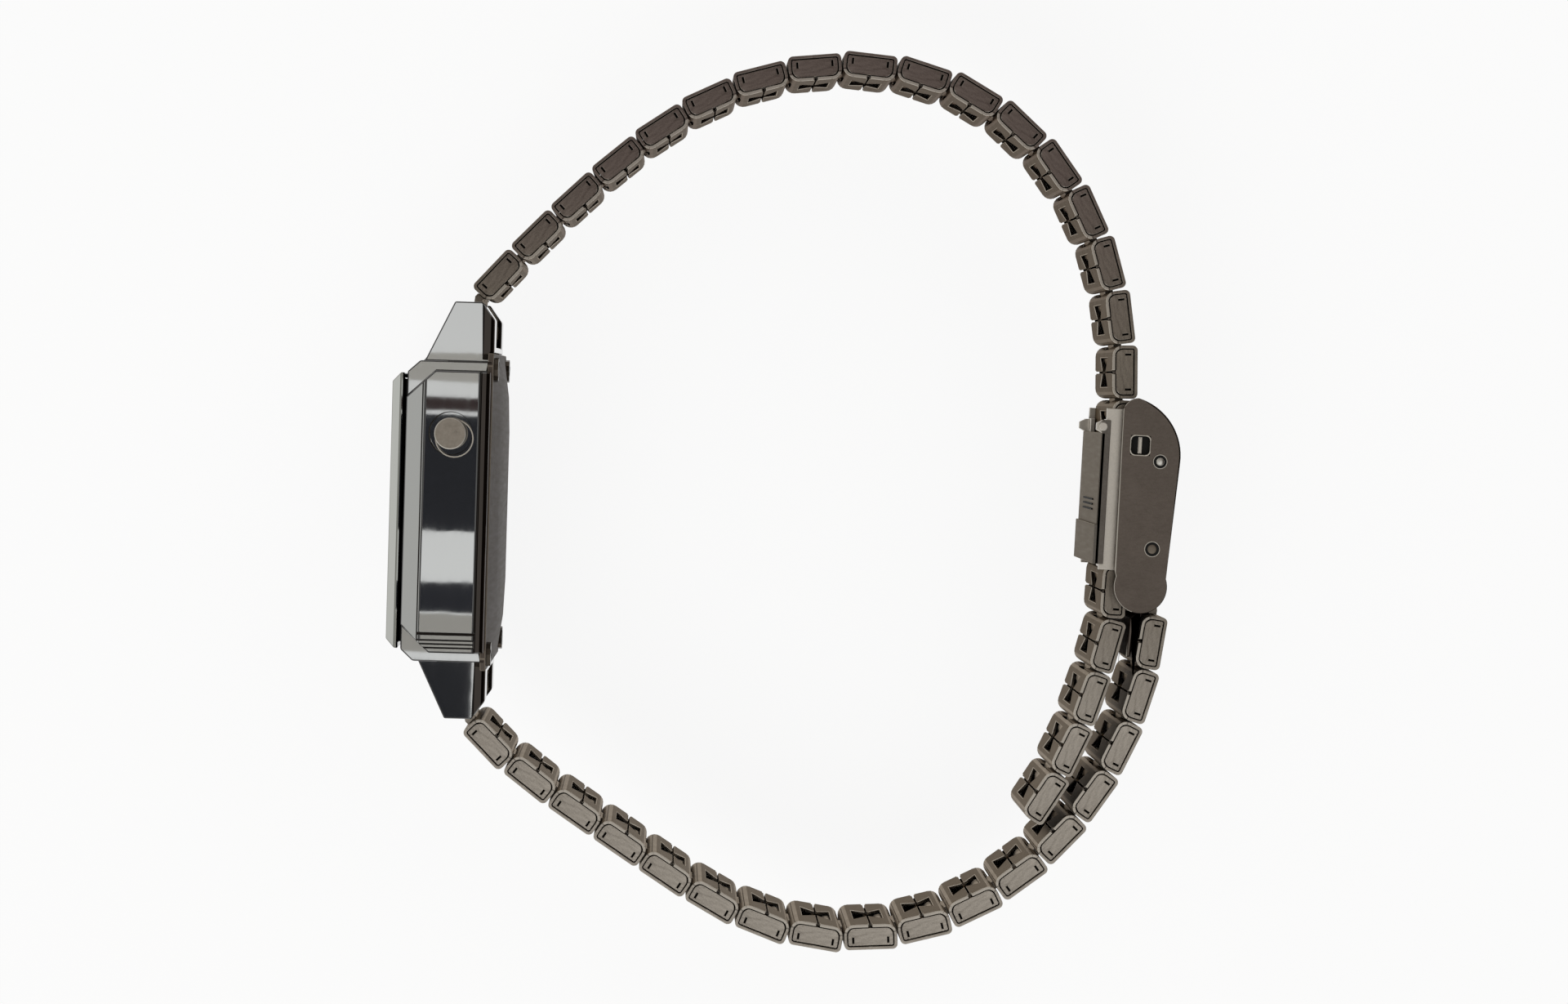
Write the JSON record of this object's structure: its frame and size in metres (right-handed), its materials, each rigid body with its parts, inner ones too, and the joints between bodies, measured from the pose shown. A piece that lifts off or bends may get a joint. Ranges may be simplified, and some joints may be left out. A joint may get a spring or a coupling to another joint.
{
  "type": "digital wristwatch",
  "caption": "Slim digital wristwatch with a faceted metal case, push buttons and a bracelet of folded steel links closed by a fold-over clasp.",
  "frame": {"origin": "middle of the case back's flat wrist face", "axes": "+X from the dial to the wrist, +Y to the upper strap, +Z along the width to the side with one button"},
  "size_m": [0.0634, 0.0729, 0.03],
  "materials": {
    "case_metal": "polished chrome plate",
    "bezel_metal": "polished chrome plate",
    "crystal_glass": "polished mineral glass",
    "dial_print": "matt black print",
    "cell_glass": "grey-green polariser film",
    "module_plastic": "moulded, fine matt",
    "board_laminate": "solder-masked laminate",
    "battery_can": "drawn stainless can",
    "spring_steel": "rolled spring steel",
    "gasket_rubber": "moulded rubber",
    "back_steel": "circular-brushed steel",
    "screw_steel": "turned steel",
    "button_metal": "polished",
    "band_steel": "lengthwise brushed, warm grey",
    "sleeve_steel": "brushed",
    "clasp_steel": "brushed, warm grey"
  },
  "bodies": {
    "case": {"case_body": "case_metal", "front_bezel": "bezel_metal", "crystal": "crystal_glass", "dial_mask": "dial_print", "lcd_glass": "cell_glass", "module_housing": "module_plastic", "circuit_board": "board_laminate", "battery": "battery_can", "battery_clip": "spring_steel", "case_gasket": "gasket_rubber", "case_back": "back_steel", "case_back_screws": "screw_steel", "upper_spring_bar": "spring_steel"},
    "button_light": {"button_light": "button_metal"},
    "button_mode": {"button_mode": "button_metal"},
    "button_alarm": {"button_alarm": "button_metal"},
    "sleeve": {"clasp_sleeve": "sleeve_steel", "clasp_held_links": "band_steel"},
    "flap": {"locking_flap": "sleeve_steel"},
    "arm": {"clasp_arm": "clasp_steel"},
    "cover": {"clasp_cover": "clasp_steel"},
    "upper_link_01": {"upper_link_01": "band_steel"},
    "upper_link_02": {"upper_link_02": "band_steel"},
    "upper_link_03": {"upper_link_03": "band_steel"},
    "upper_link_04": {"upper_link_04": "band_steel"},
    "upper_link_05": {"upper_link_05": "band_steel"},
    "upper_link_06": {"upper_link_06": "band_steel"},
    "upper_link_07": {"upper_link_07": "band_steel"},
    "upper_link_08": {"upper_link_08": "band_steel"},
    "upper_link_09": {"upper_link_09": "band_steel"},
    "upper_link_10": {"upper_link_10": "band_steel"},
    "upper_link_11": {"upper_link_11": "band_steel"},
    "upper_link_12": {"upper_link_12": "band_steel"},
    "upper_link_13": {"upper_link_13": "band_steel"},
    "upper_link_14": {"upper_link_14": "band_steel"},
    "upper_link_15": {"upper_link_15": "band_steel"},
    "upper_link_16": {"upper_link_16": "band_steel"},
    "upper_link_17": {"upper_link_17": "band_steel"},
    "tail_link_1": {"tail_link_1": "band_steel"},
    "tail_link_2": {"tail_link_2": "band_steel"},
    "tail_link_3": {"tail_link_3": "band_steel"},
    "tail_link_4": {"tail_link_4": "band_steel"},
    "tail_link_5": {"tail_link_5": "band_steel"},
    "lower_link_17": {"lower_link_17": "band_steel"},
    "lower_link_16": {"lower_link_16": "band_steel"},
    "lower_link_15": {"lower_link_15": "band_steel"},
    "lower_link_14": {"lower_link_14": "band_steel"},
    "lower_link_13": {"lower_link_13": "band_steel"},
    "lower_link_12": {"lower_link_12": "band_steel"},
    "lower_link_11": {"lower_link_11": "band_steel"},
    "lower_link_10": {"lower_link_10": "band_steel"},
    "lower_link_09": {"lower_link_09": "band_steel"},
    "lower_link_08": {"lower_link_08": "band_steel"},
    "lower_link_07": {"lower_link_07": "band_steel"},
    "lower_link_06": {"lower_link_06": "band_steel"},
    "lower_link_05": {"lower_link_05": "band_steel"},
    "lower_link_04": {"lower_link_04": "band_steel"},
    "lower_link_03": {"lower_link_03": "band_steel"},
    "lower_link_02": {"lower_link_02": "band_steel"},
    "lower_link_01": {"lower_link_01": "band_steel"}
  },
  "joints": [
    {"name": "button_light_press", "type": "slide", "parent": "case", "child": "button_light", "axis": [0, 0, -1], "range_m": [0, 0.0005], "stiffness_N_per_m": 1500},
    {"name": "button_mode_press", "type": "slide", "parent": "case", "child": "button_mode", "axis": [0, 0, 1], "range_m": [0, 0.0005], "stiffness_N_per_m": 1500},
    {"name": "button_alarm_press", "type": "slide", "parent": "case", "child": "button_alarm", "axis": [0, 0, 1], "range_m": [0, 0.0005], "stiffness_N_per_m": 1500},
    {"name": "flap_hinge", "type": "hinge", "parent": "sleeve", "child": "flap", "pos_m": [0.04851, 0.00821, 0], "axis": [0, 0, 1], "range_deg": [-90, 0]},
    {"name": "arm_hinge", "type": "hinge", "parent": "sleeve", "child": "arm", "pos_m": [0.05106, -0.0026, 0], "axis": [0, 0, 1], "range_deg": [-140, 0]},
    {"name": "cover_hinge", "type": "hinge", "parent": "arm", "child": "cover", "pos_m": [0.05309, 0.00551, 0], "axis": [0, 0, 1], "range_deg": [0, 140]},
    {"name": "upper_strap_hinge", "type": "hinge", "parent": "case", "child": "upper_link_01", "pos_m": [-0.0025, 0.01465, 0], "axis": [0, 0, 1], "range_deg": [0, 30]},
    {"name": "upper_hinge_02", "type": "hinge", "parent": "upper_link_01", "child": "upper_link_02", "pos_m": [0.00173, 0.02144, 0], "axis": [0, 0, 1], "range_deg": [0, 6]},
    {"name": "upper_hinge_03", "type": "hinge", "parent": "upper_link_02", "child": "upper_link_03", "pos_m": [0.00482, 0.02464, 0], "axis": [0, 0, 1], "range_deg": [0, 6]},
    {"name": "upper_hinge_04", "type": "hinge", "parent": "upper_link_03", "child": "upper_link_04", "pos_m": [0.00802, 0.02773, 0], "axis": [0, 0, 1], "range_deg": [0, 7.5]},
    {"name": "upper_hinge_05", "type": "hinge", "parent": "upper_link_04", "child": "upper_link_05", "pos_m": [0.0114, 0.03062, 0], "axis": [0, 0, 1], "range_deg": [0, 10]},
    {"name": "upper_hinge_06", "type": "hinge", "parent": "upper_link_05", "child": "upper_link_06", "pos_m": [0.01507, 0.03314, 0], "axis": [0, 0, 1], "range_deg": [0, 12.5]},
    {"name": "upper_hinge_07", "type": "hinge", "parent": "upper_link_06", "child": "upper_link_07", "pos_m": [0.01907, 0.03509, 0], "axis": [0, 0, 1], "range_deg": [0, 14]},
    {"name": "upper_hinge_08", "type": "hinge", "parent": "upper_link_07", "child": "upper_link_08", "pos_m": [0.02335, 0.03632, 0], "axis": [0, 0, 1], "range_deg": [0, 14]},
    {"name": "upper_hinge_09", "type": "hinge", "parent": "upper_link_08", "child": "upper_link_09", "pos_m": [0.02777, 0.03678, 0], "axis": [0, 0, 1], "range_deg": [0, 15]},
    {"name": "upper_hinge_10", "type": "hinge", "parent": "upper_link_09", "child": "upper_link_10", "pos_m": [0.03221, 0.03639, 0], "axis": [0, 0, 1], "range_deg": [0, 15.5]},
    {"name": "upper_hinge_11", "type": "hinge", "parent": "upper_link_10", "child": "upper_link_11", "pos_m": [0.03647, 0.03513, 0], "axis": [0, 0, 1], "range_deg": [0, 17]},
    {"name": "upper_hinge_12", "type": "hinge", "parent": "upper_link_11", "child": "upper_link_12", "pos_m": [0.04034, 0.03294, 0], "axis": [0, 0, 1], "range_deg": [0, 16.5]},
    {"name": "upper_hinge_13", "type": "hinge", "parent": "upper_link_12", "child": "upper_link_13", "pos_m": [0.04365, 0.02996, 0], "axis": [0, 0, 1], "range_deg": [0, 15.5]},
    {"name": "upper_hinge_14", "type": "hinge", "parent": "upper_link_13", "child": "upper_link_14", "pos_m": [0.0463, 0.02638, 0], "axis": [0, 0, 1], "range_deg": [0, 14.5]},
    {"name": "upper_hinge_15", "type": "hinge", "parent": "upper_link_14", "child": "upper_link_15", "pos_m": [0.04825, 0.02238, 0], "axis": [0, 0, 1], "range_deg": [0, 13.5]},
    {"name": "upper_hinge_16", "type": "hinge", "parent": "upper_link_15", "child": "upper_link_16", "pos_m": [0.04951, 0.01812, 0], "axis": [0, 0, 1], "range_deg": [0, 12]},
    {"name": "upper_hinge_17", "type": "hinge", "parent": "upper_link_16", "child": "upper_link_17", "pos_m": [0.05017, 0.01372, 0], "axis": [0, 0, 1], "range_deg": [0, 11]},
    {"name": "sleeve_hinge", "type": "hinge", "parent": "upper_link_17", "child": "sleeve", "pos_m": [0.05029, 0.00927, 0], "axis": [0, 0, 1], "range_deg": [0, 7]},
    {"name": "tail_hinge_1", "type": "hinge", "parent": "sleeve", "child": "tail_link_1", "pos_m": [0.04994, -0.00408, 0], "axis": [0, 0, 1], "range_deg": [-12, 0]},
    {"name": "tail_hinge_2", "type": "hinge", "parent": "tail_link_1", "child": "tail_link_2", "pos_m": [0.04974, -0.00852, 0], "axis": [0, 0, 1], "range_deg": [-12, 0]},
    {"name": "tail_hinge_3", "type": "hinge", "parent": "tail_link_2", "child": "tail_link_3", "pos_m": [0.04863, -0.01283, 0], "axis": [0, 0, 1], "range_deg": [-12, 0]},
    {"name": "tail_hinge_4", "type": "hinge", "parent": "tail_link_3", "child": "tail_link_4", "pos_m": [0.04725, -0.01706, 0], "axis": [0, 0, 1], "range_deg": [-12, 0]},
    {"name": "tail_hinge_5", "type": "hinge", "parent": "tail_link_4", "child": "tail_link_5", "pos_m": [0.04541, -0.02111, 0], "axis": [0, 0, 1], "range_deg": [-12, 0]},
    {"name": "lower_strap_hinge", "type": "hinge", "parent": "cover", "child": "lower_link_17", "pos_m": [0.05269, -0.00156, 0], "axis": [0, 0, 1], "range_deg": [0, 5]},
    {"name": "lower_hinge_16", "type": "hinge", "parent": "lower_link_17", "child": "lower_link_16", "pos_m": [0.05255, -0.01255, 0], "axis": [0, 0, 1], "range_deg": [0, 12.5]},
    {"name": "lower_hinge_15", "type": "hinge", "parent": "lower_link_16", "child": "lower_link_15", "pos_m": [0.05128, -0.01682, 0], "axis": [0, 0, 1], "range_deg": [0, 12.5]},
    {"name": "lower_hinge_14", "type": "hinge", "parent": "lower_link_15", "child": "lower_link_14", "pos_m": [0.04939, -0.02084, 0], "axis": [0, 0, 1], "range_deg": [0, 13]},
    {"name": "lower_hinge_13", "type": "hinge", "parent": "lower_link_14", "child": "lower_link_13", "pos_m": [0.04689, -0.02453, 0], "axis": [0, 0, 1], "range_deg": [0, 13]},
    {"name": "lower_hinge_12", "type": "hinge", "parent": "lower_link_13", "child": "lower_link_12", "pos_m": [0.04385, -0.02778, 0], "axis": [0, 0, 1], "range_deg": [0, 13.5]},
    {"name": "lower_hinge_11", "type": "hinge", "parent": "lower_link_12", "child": "lower_link_11", "pos_m": [0.04032, -0.03048, 0], "axis": [0, 0, 1], "range_deg": [0, 14.5]},
    {"name": "lower_hinge_10", "type": "hinge", "parent": "lower_link_11", "child": "lower_link_10", "pos_m": [0.03635, -0.03249, 0], "axis": [0, 0, 1], "range_deg": [0, 16]},
    {"name": "lower_hinge_09", "type": "hinge", "parent": "lower_link_10", "child": "lower_link_09", "pos_m": [0.03205, -0.03363, 0], "axis": [0, 0, 1], "range_deg": [0, 15.5]},
    {"name": "lower_hinge_08", "type": "hinge", "parent": "lower_link_09", "child": "lower_link_08", "pos_m": [0.02761, -0.0339, 0], "axis": [0, 0, 1], "range_deg": [0, 15.94]},
    {"name": "lower_hinge_07", "type": "hinge", "parent": "lower_link_08", "child": "lower_link_07", "pos_m": [0.0232, -0.03323, 0], "axis": [0, 0, 1], "range_deg": [0, 16]},
    {"name": "lower_hinge_06", "type": "hinge", "parent": "lower_link_07", "child": "lower_link_06", "pos_m": [0.01904, -0.03167, 0], "axis": [0, 0, 1], "range_deg": [0, 12.5]},
    {"name": "lower_hinge_05", "type": "hinge", "parent": "lower_link_06", "child": "lower_link_05", "pos_m": [0.01515, -0.02951, 0], "axis": [0, 0, 1], "range_deg": [0, 7.5]},
    {"name": "lower_hinge_04", "type": "hinge", "parent": "lower_link_05", "child": "lower_link_04", "pos_m": [0.0114, -0.02712, 0], "axis": [0, 0, 1], "range_deg": [0, 4.5]},
    {"name": "lower_hinge_03", "type": "hinge", "parent": "lower_link_04", "child": "lower_link_03", "pos_m": [0.00767, -0.02469, 0], "axis": [0, 0, 1], "range_deg": [0, 4.5]},
    {"name": "lower_hinge_02", "type": "hinge", "parent": "lower_link_03", "child": "lower_link_02", "pos_m": [0.00396, -0.02223, 0], "axis": [0, 0, 1], "range_deg": [0, 7.5]},
    {"name": "lower_hinge_01", "type": "hinge", "parent": "lower_link_02", "child": "lower_link_01", "pos_m": [0.00041, -0.01955, 0], "axis": [0, 0, 1], "range_deg": [0, 12]}
  ],
  "couplings": [
    {"joint": "cover_hinge", "follows": "arm_hinge", "ratio": -1}
  ]
}
